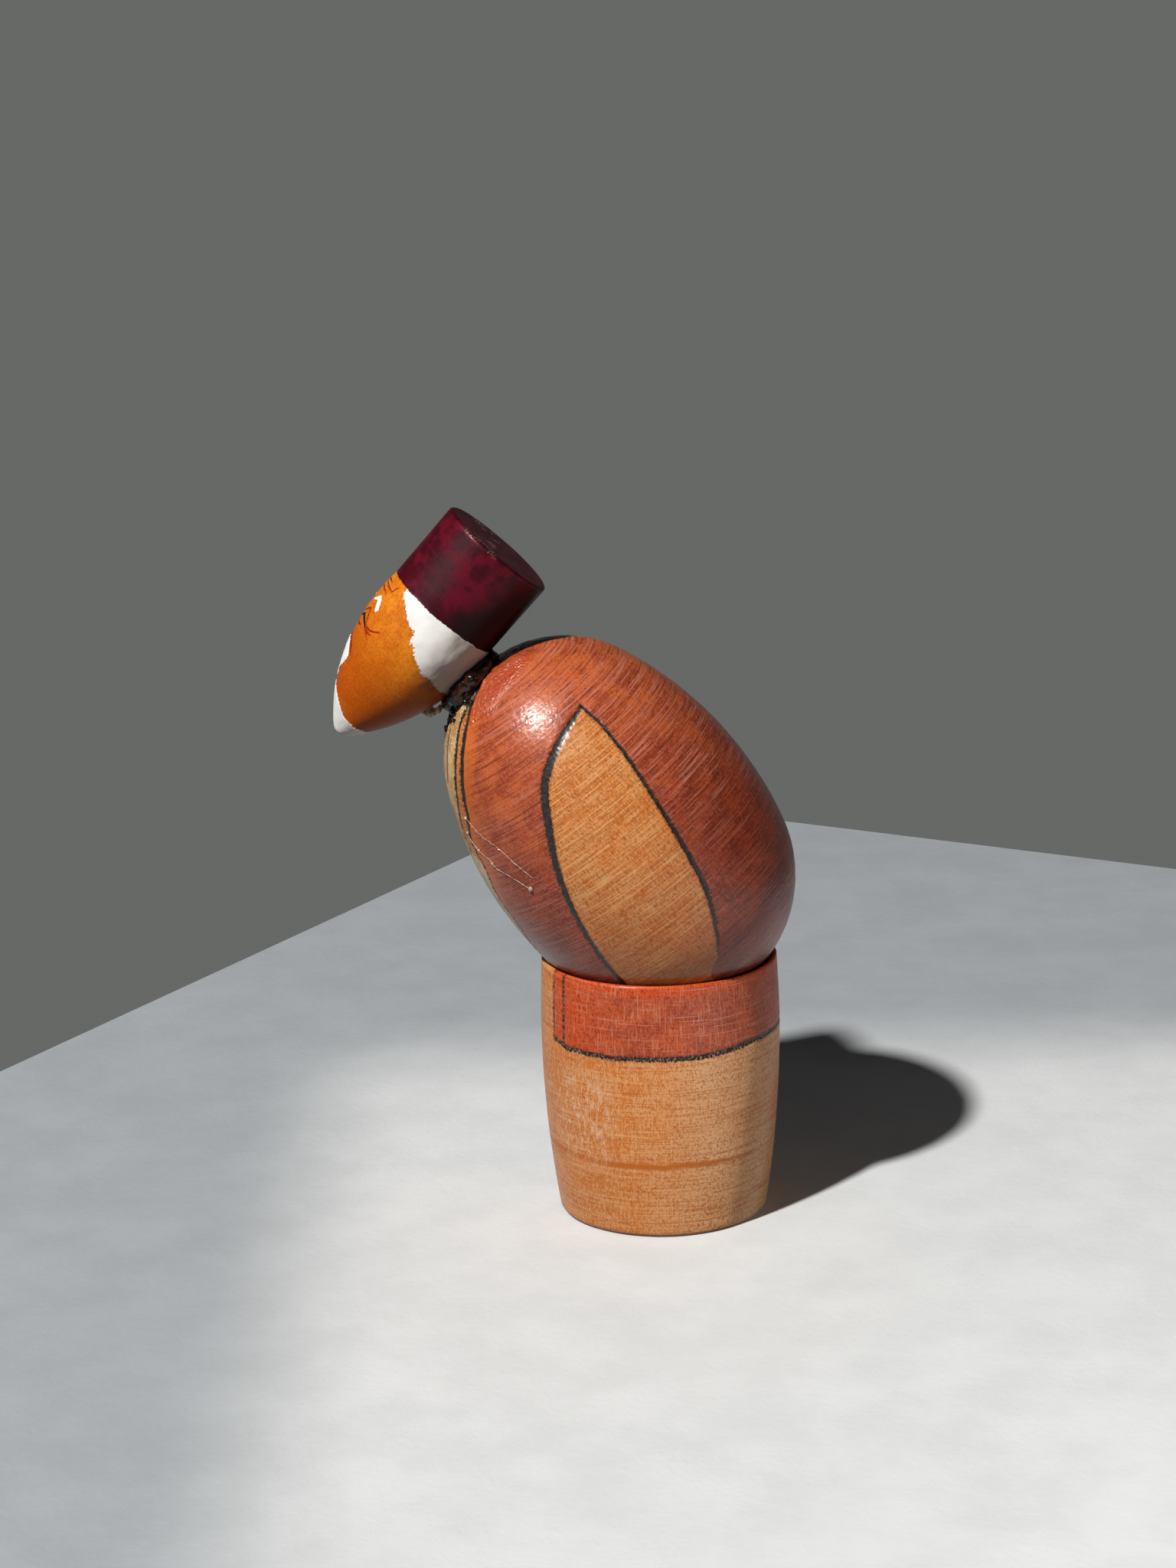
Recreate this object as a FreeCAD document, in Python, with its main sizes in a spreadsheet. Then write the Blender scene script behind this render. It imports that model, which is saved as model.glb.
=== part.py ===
"""Turned wooden figurine of a hunched old man in a flat-topped hat.

The figure is three turned pieces: a barrel-shaped base (the lower robe), an egg-shaped body that
leans forward out of the base's dished top, and a bullet-shaped head with its hat in one piece.
A dowel pins the body to the base, a thinner one pins the head to the body, and set glue fills
both joints and hangs from the neck in drops and threads.

Millimetres, +Z up. The origin is the centre of the base's underside. The figure faces -Y, so its
left side faces +X. Every axis of turning lies in the YZ plane.
"""
import FreeCAD, Part
import math
import os

import Sketcher

PI = math.pi
ORIGIN = (-1, 1)
VERTICAL_AXIS = -2

# Driving dimensions, in millimetres and degrees.
DIMENSIONS = {
    # Base: a barrel whose side is one long arc, with a round dish in its top.
    "base_height": 42.5,
    "belly_radius": 19.3,
    "belly_height": 31.0,
    "barrel_arc": 192.0,
    "foot_round": 1.0,
    "rim_round": 0.3,
    "dish_radius": 22.5,
    # Body: an egg of three arcs tangent to each other, leaning forward over the dish's centre.
    "body_height": 55.4,
    "body_tilt": 36.1,
    "broad_radius": 22.1,
    "narrow_radius": 19.5,
    "flank_arc": 59.0,
    "egg_centres": 24.2,
    # Head: the hat rises from its brim, and the face runs down from there to the beard's tip.
    "head_tilt": 42.2,
    "hat_length": 13.3,
    "hat_top_radius": 9.7,
    "hat_brim_radius": 9.6,
    "hat_round": 0.5,
    "face_arc": 31.5,
    "face_bulge_drop": 3.75,
    "beard_tip_radius": 1.9,
    # Neck: the head's side lies against the body's narrow end.
    "neck_below_brim": 5.6,
    "neck_gap": 0.8,
    "neck_pin_radius": 1.5,
    "neck_pin_in_body": 7.0,
    "neck_pin_in_head": 5.0,
    "neck_glue_radius": 7.0,
    "neck_glue_half_depth": 3.4,
    # Seat: the dowel up the middle and the layer of glue in the dish.
    "seat_pin_radius": 3.0,
    "seat_pin_in_base": 10.0,
    "seat_pin_in_body": 9.0,
    "seat_glue_below_rim": 0.6,
    # A glue drop under the jaw, and the threads that the glue drew across the body's front.
    "drop_radius": 1.0,
    "drop_below_brim": 14.0,
    "drop_sink": 0.35,
    "thread_radius": 0.15,
    "thread_lift": 0.25,
    "thread_foot_radius": 0.45,
}

# Each thread: (height along the egg from its broad centre, degrees round from the front) of its
# start, middle and end.
THREADS = {
    "glue_thread_upper": ((27.5, 32.0), (22.0, 46.0), (15.7, 55.0)),
    "glue_thread_lower": ((24.5, 27.0), (19.6, 38.5), (14.2, 50.5)),
}

doc = FreeCAD.newDocument("figurine")
sheet = doc.addObject("Spreadsheet::Sheet", "dims")
for row, (alias, value) in enumerate(DIMENSIONS.items(), start=1):
    sheet.set(f"A{row}", alias)
    sheet.set(f"B{row}", str(value))
    sheet.setAlias(f"B{row}", alias)
doc.recompute()


def dim(alias):
    return float(sheet.get(alias))


def in_yz(y, z):
    return FreeCAD.Vector(0, y, z)


def about_x(position, degrees):
    return FreeCAD.Placement(position, FreeCAD.Rotation(FreeCAD.Vector(1, 0, 0), degrees))


# Sketch helpers. Every sketch lies in its body's YZ plane: across is +Y and up is +Z.


def new_sketch(body, name):
    sketch = body.newObject("Sketcher::SketchObject", name)
    planes = body.Origin.OriginFeatures
    plane = next(feature for feature in planes if feature.Role == "YZ_Plane")
    sketch.AttachmentSupport = [(plane, "")]
    sketch.MapMode = "FlatFace"
    return sketch


def add_line(sketch, start, end):
    return sketch.addGeometry(Part.LineSegment(FreeCAD.Vector(*start, 0), FreeCAD.Vector(*end, 0)))


def add_arc(sketch, centre, radius, start_angle, end_angle):
    circle = Part.Circle(FreeCAD.Vector(*centre, 0), FreeCAD.Vector(0, 0, 1), radius)
    return sketch.addGeometry(Part.ArcOfCircle(circle, start_angle, end_angle))


def constrain(sketch, *definition):
    return sketch.addConstraint(Sketcher.Constraint(*definition))


def bind(sketch, name, formula, *definition):
    """A sized constraint that follows the sheet."""
    index = constrain(sketch, *definition)
    sketch.renameConstraint(index, name)
    sketch.setExpression(f"Constraints.{name}", formula)


def close_outline(sketch, ends):
    """Joins each edge's end to the next edge's start: ends holds (edge, start, end) in order."""
    for (edge, _, tail), (following, head, _) in zip(ends, ends[1:] + ends[:1]):
        constrain(sketch, "Coincident", edge, tail, following, head)


def turn(body, sketch, name):
    """Turns the sketch's outline about the body's own Z axis."""
    revolution = body.newObject("PartDesign::Revolution", name)
    revolution.Profile = sketch
    revolution.ReferenceAxis = (sketch, ["V_Axis"])
    revolution.Angle = 360
    doc.recompute()


def drill(body, name, bottom, degrees, radius_alias, depth):
    """A round blind hole from its bottom centre (y, z), leaning degrees from +Z towards +Y."""
    before = body.Shape.Volume
    lean = math.radians(degrees)
    along = (math.sin(lean), math.cos(lean))
    side = (math.cos(lean), -math.sin(lean))
    radius = dim(radius_alias)

    def place(distance, offset):
        return tuple(bottom[i] + distance * along[i] + offset * side[i] for i in range(2))

    corners = [place(0, 0), place(depth, 0), place(depth, radius), place(0, radius)]
    sketch = new_sketch(body, f"{name}_outline")
    edges = [add_line(sketch, a, b) for a, b in zip(corners, corners[1:] + corners[:1])]
    axis = add_line(sketch, corners[0], corners[1])
    sketch.setConstruction(axis, True)
    close_outline(sketch, [(edge, 1, 2) for edge in edges])
    constrain(sketch, "Coincident", axis, 1, edges[0], 1)
    constrain(sketch, "Coincident", axis, 2, edges[0], 2)
    for edge, following in zip(edges, edges[1:3]):
        constrain(sketch, "Perpendicular", edge, following)
    constrain(sketch, "Perpendicular", edges[2], edges[3])
    bind(sketch, "bore_radius", f"dims.{radius_alias}", "Distance", edges[3], radius)
    groove = body.newObject("PartDesign::Groove", name)
    groove.Profile = sketch
    groove.ReferenceAxis = (sketch, ["Axis0"])
    groove.Angle = 360
    doc.recompute()
    assert body.Shape.Volume < before - 1.0, f"{name} cut nothing"


def round_edge(body, name, height, radius, alias):
    """Rounds the circular edge of this height and radius."""
    feature = body.Tip
    names = []
    for number, edge in enumerate(feature.Shape.Edges, start=1):
        if edge.Degenerated or not isinstance(edge.Curve, Part.Circle):
            continue
        curve = edge.Curve
        if abs(curve.Center.z - height) < 0.01 and abs(curve.Radius - radius) < 0.05:
            names.append(f"Edge{number}")
    assert names, f"{name} found no edge"
    fillet = body.newObject("PartDesign::Fillet", name)
    fillet.Base = (feature, names)
    fillet.setExpression("Radius", f"dims.{alias}")
    doc.recompute()


# Where the turned pieces meet.

body_centre = in_yz(0, dim("body_height"))
body_placement = about_x(body_centre, dim("body_tilt"))
head_lean = math.radians(dim("head_tilt"))
head_axis = in_yz(math.sin(head_lean), math.cos(head_lean))
neck_axis = in_yz(-math.cos(head_lean), math.sin(head_lean))
narrow_centre = body_placement.multVec(in_yz(0, dim("egg_centres")))
face_centre_out = dim("hat_brim_radius") - math.sqrt(dim("face_arc") ** 2 - dim("face_bulge_drop") ** 2)
neck_drop = dim("neck_below_brim") - dim("face_bulge_drop")
head_radius_at_neck = face_centre_out + math.sqrt(dim("face_arc") ** 2 - neck_drop**2)
neck_on_body = narrow_centre + neck_axis * dim("narrow_radius")
neck_on_head = neck_on_body + neck_axis * dim("neck_gap")
brim_centre = neck_on_head + neck_axis * head_radius_at_neck + head_axis * dim("neck_below_brim")
head_placement = about_x(brim_centre, -dim("head_tilt"))


def make_base():
    """The barrel: flat underside, bulged side, narrow rim and a round dish for the body."""
    body = doc.addObject("PartDesign::Body", "base")
    belly_centre = (dim("belly_radius") - dim("barrel_arc"), dim("belly_height"))
    height = dim("base_height")

    def barrel_angle(level):
        return math.asin((level - belly_centre[1]) / dim("barrel_arc"))

    def barrel_radius(level):
        return belly_centre[0] + dim("barrel_arc") * math.cos(barrel_angle(level))

    dish_centre = (0, dim("body_height"))
    dish_angle = math.asin((height - dish_centre[1]) / dim("dish_radius"))
    dish_edge = dim("dish_radius") * math.cos(dish_angle)
    dish_bottom = dish_centre[1] - dim("dish_radius")

    sketch = new_sketch(body, "base_profile")
    underside = add_line(sketch, (0, 0), (barrel_radius(0), 0))
    side = add_arc(sketch, belly_centre, dim("barrel_arc"), barrel_angle(0), barrel_angle(height))
    rim = add_line(sketch, (barrel_radius(height), height), (dish_edge, height))
    dish = add_arc(sketch, dish_centre, dim("dish_radius"), -PI / 2, dish_angle)
    core = add_line(sketch, (0, dish_bottom), (0, 0))
    outline = [(underside, 1, 2), (side, 1, 2), (rim, 1, 2), (dish, 2, 1), (core, 1, 2)]
    close_outline(sketch, outline)
    constrain(sketch, "Coincident", underside, 1, *ORIGIN)
    constrain(sketch, "Horizontal", underside)
    constrain(sketch, "Horizontal", rim)
    constrain(sketch, "Vertical", core)
    constrain(sketch, "PointOnObject", dish, 3, VERTICAL_AXIS)
    bind(sketch, "barrel_arc", "dims.barrel_arc", "Radius", side, dim("barrel_arc"))
    bind(
        sketch, "belly_out", "dims.barrel_arc - dims.belly_radius",
        "DistanceX", side, 3, *ORIGIN, -belly_centre[0],
    )
    bind(sketch, "belly_height", "dims.belly_height", "DistanceY", *ORIGIN, side, 3, belly_centre[1])
    bind(sketch, "base_height", "dims.base_height", "DistanceY", *ORIGIN, rim, 1, height)
    bind(sketch, "dish_height", "dims.body_height", "DistanceY", *ORIGIN, dish, 3, dish_centre[1])
    bind(sketch, "dish_radius", "dims.dish_radius", "Radius", dish, dim("dish_radius"))
    turn(body, sketch, "base_turning")
    round_edge(body, "foot_rounding", 0, barrel_radius(0), "foot_round")
    round_edge(body, "rim_rounding", height, barrel_radius(height), "rim_round")
    pin_bottom = seat_pin_bottom()
    drill(body, "seat_pin_bore", (0, pin_bottom), 0, "seat_pin_radius", dish_bottom + 2 - pin_bottom)
    return body


def seat_pin_bottom():
    return dim("body_height") - dim("dish_radius") - dim("seat_pin_in_base")


def seat_pin_top():
    return dim("body_height") - dim("broad_radius") + dim("seat_pin_in_body")


def make_body():
    """The egg: broad end down in the dish, narrow end up and forward under the head."""
    body = doc.addObject("PartDesign::Body", "body")
    broad, narrow = dim("broad_radius"), dim("narrow_radius")
    flank, centres = dim("flank_arc"), dim("egg_centres")
    flank_up = ((flank - broad) ** 2 - (flank - narrow) ** 2 + centres**2) / (2 * centres)
    flank_out = -math.sqrt((flank - broad) ** 2 - flank_up**2)
    low_join = math.atan2(-flank_up, -flank_out)
    high_join = math.atan2(centres - flank_up, -flank_out)

    sketch = new_sketch(body, "egg_profile")
    broad_end = add_arc(sketch, (0, 0), broad, -PI / 2, low_join)
    flank_side = add_arc(sketch, (flank_out, flank_up), flank, low_join, high_join)
    narrow_end = add_arc(sketch, (0, centres), narrow, high_join, PI / 2)
    core = add_line(sketch, (0, centres + narrow), (0, -broad))
    constrain(sketch, "Tangent", broad_end, 2, flank_side, 1)
    constrain(sketch, "Tangent", flank_side, 2, narrow_end, 1)
    constrain(sketch, "Coincident", narrow_end, 2, core, 1)
    constrain(sketch, "Coincident", core, 2, broad_end, 1)
    constrain(sketch, "Coincident", broad_end, 3, *ORIGIN)
    constrain(sketch, "PointOnObject", narrow_end, 3, VERTICAL_AXIS)
    constrain(sketch, "PointOnObject", broad_end, 1, VERTICAL_AXIS)
    constrain(sketch, "Vertical", core)
    bind(sketch, "broad_radius", "dims.broad_radius", "Radius", broad_end, broad)
    bind(sketch, "narrow_radius", "dims.narrow_radius", "Radius", narrow_end, narrow)
    bind(sketch, "flank_arc", "dims.flank_arc", "Radius", flank_side, flank)
    bind(sketch, "egg_centres", "dims.egg_centres", "DistanceY", *ORIGIN, narrow_end, 3, centres)
    turn(body, sketch, "body_turning")
    body.Placement = body_placement

    to_local = body_placement.inverse()
    top = to_local.multVec(in_yz(0, seat_pin_top()))
    depth = dim("seat_pin_in_body") + 2
    drill(body, "seat_pin_bore", (top.y, top.z), 180 + dim("body_tilt"), "seat_pin_radius", depth)
    bottom = to_local.multVec(neck_on_body - neck_axis * dim("neck_pin_in_body"))
    outward = to_local.Rotation.multVec(neck_axis)
    lean = math.degrees(math.atan2(outward.y, outward.z))
    depth = dim("neck_pin_in_body") + 2
    drill(body, "neck_pin_bore", (bottom.y, bottom.z), lean, "neck_pin_radius", depth)
    return body


def make_head():
    """The head and hat in one turning: a straight hat, a bulged face and a small round tip."""
    body = doc.addObject("PartDesign::Body", "head")
    arc, tip = dim("face_arc"), dim("beard_tip_radius")
    drop = dim("face_bulge_drop")
    tip_drop = drop + math.sqrt((arc - tip) ** 2 - face_centre_out**2)
    brim_angle = math.asin(drop / arc)
    tip_angle = math.atan2(drop - tip_drop, -face_centre_out)
    hat, top = dim("hat_length"), dim("hat_top_radius")
    brim = dim("hat_brim_radius")

    sketch = new_sketch(body, "head_profile")
    crown = add_line(sketch, (0, hat), (top, hat))
    side = add_line(sketch, (top, hat), (brim, 0))
    face = add_arc(sketch, (face_centre_out, -drop), arc, tip_angle, brim_angle)
    beard = add_arc(sketch, (0, -tip_drop), tip, -PI / 2, tip_angle)
    core = add_line(sketch, (0, -tip_drop - tip), (0, hat))
    constrain(sketch, "Tangent", face, 1, beard, 2)
    constrain(sketch, "Coincident", crown, 2, side, 1)
    constrain(sketch, "Coincident", side, 2, face, 2)
    constrain(sketch, "Coincident", beard, 1, core, 1)
    constrain(sketch, "Coincident", core, 2, crown, 1)
    constrain(sketch, "Horizontal", crown)
    constrain(sketch, "Vertical", core)
    constrain(sketch, "PointOnObject", crown, 1, VERTICAL_AXIS)
    constrain(sketch, "PointOnObject", beard, 3, VERTICAL_AXIS)
    bind(sketch, "hat_length", "dims.hat_length", "DistanceY", side, 2, side, 1, hat)
    bind(sketch, "hat_height", "dims.hat_length", "DistanceY", *ORIGIN, crown, 1, hat)
    bind(sketch, "hat_top_radius", "dims.hat_top_radius", "DistanceX", crown, 1, crown, 2, top)
    bind(sketch, "hat_brim_radius", "dims.hat_brim_radius", "DistanceX", *ORIGIN, side, 2, brim)
    bind(sketch, "face_arc", "dims.face_arc", "Radius", face, arc)
    bind(sketch, "face_bulge_drop", "dims.face_bulge_drop", "DistanceY", face, 3, *ORIGIN, drop)
    bind(sketch, "beard_tip_radius", "dims.beard_tip_radius", "Radius", beard, tip)
    turn(body, sketch, "head_turning")
    round_edge(body, "hat_rounding", hat, top, "hat_round")
    body.Placement = head_placement

    bottom = head_radius_at_neck - dim("neck_pin_in_head")
    depth = dim("neck_pin_in_head") + 2
    level = -dim("neck_below_brim")
    drill(body, "neck_pin_bore", (bottom, level), 90, "neck_pin_radius", depth)
    return body


def make_pin(label, radius_alias, length, placement):
    pin = doc.addObject("Part::Cylinder", label)
    pin.setExpression("Radius", f"dims.{radius_alias}")
    pin.setExpression("Height", length)
    pin.Placement = placement
    return pin


def cut_away(label, solid, tools):
    """solid less each of the tools, as a chain of cuts whose last one carries the label."""
    for number, tool in enumerate(tools, start=1):
        name = label if number == len(tools) else f"{label}_step_{number}"
        cut = doc.addObject("Part::Cut", name)
        cut.Base = solid
        cut.Tool = tool
        solid = cut
    return solid


def make_seat_glue(tools):
    """The glue between dish and egg: the dish's own ball, cut off just below the rim."""
    ball = doc.addObject("Part::Sphere", "seat_glue_ball")
    ball.setExpression("Radius", "dims.dish_radius")
    ball.Placement.Base = body_centre
    fill = doc.addObject("Part::Cylinder", "seat_glue_level")
    fill.setExpression("Radius", "dims.belly_radius")
    fill.setExpression("Height", "dims.base_height - dims.seat_glue_below_rim")
    common = doc.addObject("Part::Common", "seat_glue_blank")
    common.Base = ball
    common.Tool = fill
    return cut_away("seat_glue", common, tools)


def make_neck_glue(tools):
    """The squeezed-out lump between head and body: a lens about the neck's axis."""
    lump = doc.addObject("Part::Ellipsoid", "neck_glue_lump")
    lump.setExpression("Radius1", "dims.neck_glue_half_depth")
    lump.setExpression("Radius2", "dims.neck_glue_radius")
    lump.setExpression("Radius3", "dims.neck_glue_radius")
    middle = (neck_on_body + neck_on_head) * 0.5
    lump.Placement = about_x(middle, 90 - dim("head_tilt"))
    return cut_away("neck_glue", lump, tools)


def make_glue_drop(head):
    """A drop hanging from the jaw behind the beard."""
    level = dim("drop_below_brim") - dim("face_bulge_drop")
    radius = face_centre_out + math.sqrt(dim("face_arc") ** 2 - level**2)
    out = radius + dim("drop_radius") - dim("drop_sink")
    ball = doc.addObject("Part::Sphere", "glue_drop_ball")
    ball.setExpression("Radius", "dims.drop_radius")
    ball.Placement.Base = head_placement.multVec(in_yz(out, -dim("drop_below_brim")))
    return cut_away("glue_drop", ball, [head])


def egg_radius(height):
    """The egg's radius at a height along its axis from the broad centre."""
    broad, narrow = dim("broad_radius"), dim("narrow_radius")
    flank, centres = dim("flank_arc"), dim("egg_centres")
    flank_up = ((flank - broad) ** 2 - (flank - narrow) ** 2 + centres**2) / (2 * centres)
    flank_out = -math.sqrt((flank - broad) ** 2 - flank_up**2)
    if height < -flank_up * broad / (flank - broad):
        return math.sqrt(broad**2 - height**2)
    if height > centres + (centres - flank_up) * narrow / (flank - narrow):
        return math.sqrt(narrow**2 - (height - centres) ** 2)
    return flank_out + math.sqrt(flank**2 - (height - flank_up) ** 2)


def on_egg(height, degrees, lift):
    """A point lift outside the egg, degrees round from its front towards +X."""
    radius = egg_radius(height) + lift
    turned = math.radians(degrees)
    local = FreeCAD.Vector(radius * math.sin(turned), -radius * math.cos(turned), height)
    return body_placement.multVec(local)


def make_glue_thread(label, stations, egg):
    """A hair of glue along one arc over the egg, with a small foot stuck down at each end."""
    lift = dim("thread_lift")
    points = [on_egg(height, degrees, lift) for height, degrees in stations]
    path = Part.Arc(*points)
    start = path.tangent(path.FirstParameter)[0]
    section = Part.Circle(points[0], start, dim("thread_radius")).toShape()
    strand = doc.addObject("Part::Feature", f"{label}_strand")
    strand.Shape = Part.Wire([path.toShape()]).makePipe(Part.Face(Part.Wire([section])))
    parts = [strand]
    for number, point in enumerate((points[0], points[-1]), start=1):
        foot = doc.addObject("Part::Sphere", f"{label}_foot_{number}")
        foot.setExpression("Radius", "dims.thread_foot_radius")
        foot.Placement.Base = point
        parts.append(foot)
    whole = doc.addObject("Part::MultiFuse", f"{label}_whole")
    whole.Shapes = parts
    return cut_away(label, whole, [egg])


base = make_base()
egg = make_body()
head = make_head()
seat_pin = make_pin(
    "seat_dowel",
    "seat_pin_radius",
    "dims.seat_pin_in_base + dims.dish_radius - dims.broad_radius + dims.seat_pin_in_body",
    about_x(in_yz(0, seat_pin_bottom()), 0),
)
neck_pin = make_pin(
    "neck_dowel",
    "neck_pin_radius",
    "dims.neck_pin_in_body + dims.neck_gap + dims.neck_pin_in_head",
    about_x(neck_on_body - neck_axis * dim("neck_pin_in_body"), 90 - dim("head_tilt")),
)
doc.recompute()
sub_parts = [
    base,
    egg,
    head,
    seat_pin,
    neck_pin,
    make_seat_glue([egg, seat_pin]),
    make_neck_glue([egg, head, neck_pin]),
    make_glue_drop(head),
]
for thread_label, thread_stations in THREADS.items():
    sub_parts.append(make_glue_thread(thread_label, thread_stations, egg))
doc.recompute()

for item in doc.Objects:
    faults = {"Invalid", "Error"} & set(item.State)
    assert not faults, f"{item.Name} is {faults}"
os.makedirs("parts", exist_ok=True)
for item in sub_parts:
    shape = item.Shape
    assert not shape.isNull() and shape.isValid(), f"{item.Label} has no valid shape"
    shape.exportStep(f"parts/{item.Label}.step")
    box = shape.BoundBox
    print(f"{item.Label:20s} solids {len(shape.Solids)}  volume {shape.Volume:10.2f}  "
          f"x {box.XMin:.1f}..{box.XMax:.1f}  y {box.YMin:.1f}..{box.YMax:.1f}  "
          f"z {box.ZMin:.1f}..{box.ZMax:.1f}")
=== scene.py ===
"""Looks of a turned wooden figurine: an old man in a flat-topped hat, bent over his robe.

The turned pieces are remade as fine meshes on the CAD's own profiles, with the burned lines sunk
in and the paint standing proud, and each mesh carries as attributes the distances to its lines and
patches of paint, and masks of painted light and shade, which the materials read. Shapes are in
millimetres and degrees, and are scaled to metres where a mesh is made.
"""
import math

import bmesh
import bpy
import numpy as np
from mathutils import Matrix, Vector


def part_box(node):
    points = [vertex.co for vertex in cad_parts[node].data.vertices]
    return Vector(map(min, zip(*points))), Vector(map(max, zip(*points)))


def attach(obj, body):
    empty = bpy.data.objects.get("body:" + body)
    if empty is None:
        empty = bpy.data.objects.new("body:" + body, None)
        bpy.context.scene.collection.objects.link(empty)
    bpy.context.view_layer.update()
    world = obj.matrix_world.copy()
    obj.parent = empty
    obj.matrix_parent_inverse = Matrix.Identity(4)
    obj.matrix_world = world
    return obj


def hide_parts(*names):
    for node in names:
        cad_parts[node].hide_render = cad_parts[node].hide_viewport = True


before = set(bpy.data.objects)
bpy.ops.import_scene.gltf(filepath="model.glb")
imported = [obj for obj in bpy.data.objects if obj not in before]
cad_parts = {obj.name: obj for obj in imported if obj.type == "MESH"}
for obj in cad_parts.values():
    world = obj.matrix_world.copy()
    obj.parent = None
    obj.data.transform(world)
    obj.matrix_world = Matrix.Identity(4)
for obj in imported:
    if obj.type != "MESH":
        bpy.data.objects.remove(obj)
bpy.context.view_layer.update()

MM = 0.001
rng = np.random.default_rng(7)

# Profiles of the turned pieces, as in the CAD.
BELLY_RADIUS, BELLY_HEIGHT, BARREL_ARC = 19.3, 31.0, 192.0
FOOT_ROUND, RIM_ROUND, DISH_RADIUS = 1.0, 0.3, 22.5
BROAD, NARROW, FLANK, CENTRES = 22.1, 19.5, 59.0, 24.2
BODY_TILT, HEAD_TILT = 36.1, -42.2
HAT_LENGTH, HAT_TOP, HAT_BRIM, HAT_ROUND = 13.3, 9.7, 9.6, 0.5
FACE_ARC, FACE_DROP, BEARD_TIP = 31.5, 3.75, 1.9

# Relief on the turned pieces.
LINE_DEPTH, HEM_DEPTH = 0.13, 0.11
WHITE_PAINT_THICKNESS, HAT_PAINT_THICKNESS = 0.13, 0.05
BLACK_PAINT_THICKNESS, RED_PAINT_THICKNESS = 0.05, 0.03
FAR_FROM_LINES = 3.0


def egg_radius(height):
    flank_up = ((FLANK - BROAD) ** 2 - (FLANK - NARROW) ** 2 + CENTRES**2) / (2 * CENTRES)
    flank_out = -math.sqrt((FLANK - BROAD) ** 2 - flank_up**2)
    low_join = -flank_up * BROAD / (FLANK - BROAD)
    high_join = CENTRES + (CENTRES - flank_up) * NARROW / (FLANK - NARROW)
    broad = np.sqrt(np.clip(BROAD**2 - height**2, 0, None))
    narrow = np.sqrt(np.clip(NARROW**2 - (height - CENTRES) ** 2, 0, None))
    flank = flank_out + np.sqrt(FLANK**2 - (height - flank_up) ** 2)
    return np.where(height < low_join, broad, np.where(height > high_join, narrow, flank))


def barrel_radius(height):
    return BELLY_RADIUS - BARREL_ARC + np.sqrt(BARREL_ARC**2 - (height - BELLY_HEIGHT) ** 2)


def arc(centre, radius, start, end, count=40):
    """(height, radius) points round an arc; degrees are from straight out, up positive."""
    turn = np.radians(np.linspace(start, end, count))
    return np.column_stack([centre[0] + radius * np.sin(turn), centre[1] + radius * np.cos(turn)])


def egg_profile():
    sweep = np.linspace(0, math.pi, 900)
    low, high = -BROAD, CENTRES + NARROW
    height = (low + high) / 2 - (high - low) / 2 * np.cos(sweep)
    return np.column_stack([height, egg_radius(height)])


def head_profile():
    out = HAT_BRIM - math.sqrt(FACE_ARC**2 - FACE_DROP**2)
    tip_height = -FACE_DROP - math.sqrt((FACE_ARC - BEARD_TIP) ** 2 - out**2)
    join = math.degrees(math.atan2(tip_height + FACE_DROP, -out))
    brim = math.degrees(math.asin(FACE_DROP / FACE_ARC))
    rounding = (HAT_LENGTH - HAT_ROUND, HAT_TOP - HAT_ROUND)
    return np.vstack([
        arc((tip_height, 0), BEARD_TIP, -90, join),
        arc((-FACE_DROP, out), FACE_ARC, join, brim, 300)[1:],
        arc(rounding, HAT_ROUND, 0, 90, 12),
        [[HAT_LENGTH, 0]],
    ])


def base_profile(height, body_height):
    """From the underside's centre out, up the side and down into the dish."""
    foot = barrel_radius(np.array(FOOT_ROUND)) - FOOT_ROUND
    side = np.linspace(FOOT_ROUND, height - RIM_ROUND, 200)
    rim_out = barrel_radius(np.array(height)) - RIM_ROUND
    dish = math.degrees(math.asin((height - body_height) / DISH_RADIUS))
    return np.vstack([
        [[0, 0]],
        arc((FOOT_ROUND, foot), FOOT_ROUND, -90, 0, 12),
        np.column_stack([side, barrel_radius(side)])[1:],
        arc((height - RIM_ROUND, rim_out), RIM_ROUND, 0, 90, 8)[1:],
        arc((body_height, 0), DISH_RADIUS, dish, -90),
    ])


def box_of(node):
    """The low and high corners of a CAD node's box, in mm."""
    return [np.array(corner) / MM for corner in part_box(node)]


def middle_of(node):
    low, high = box_of(node)
    return (low + high) / 2


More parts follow.
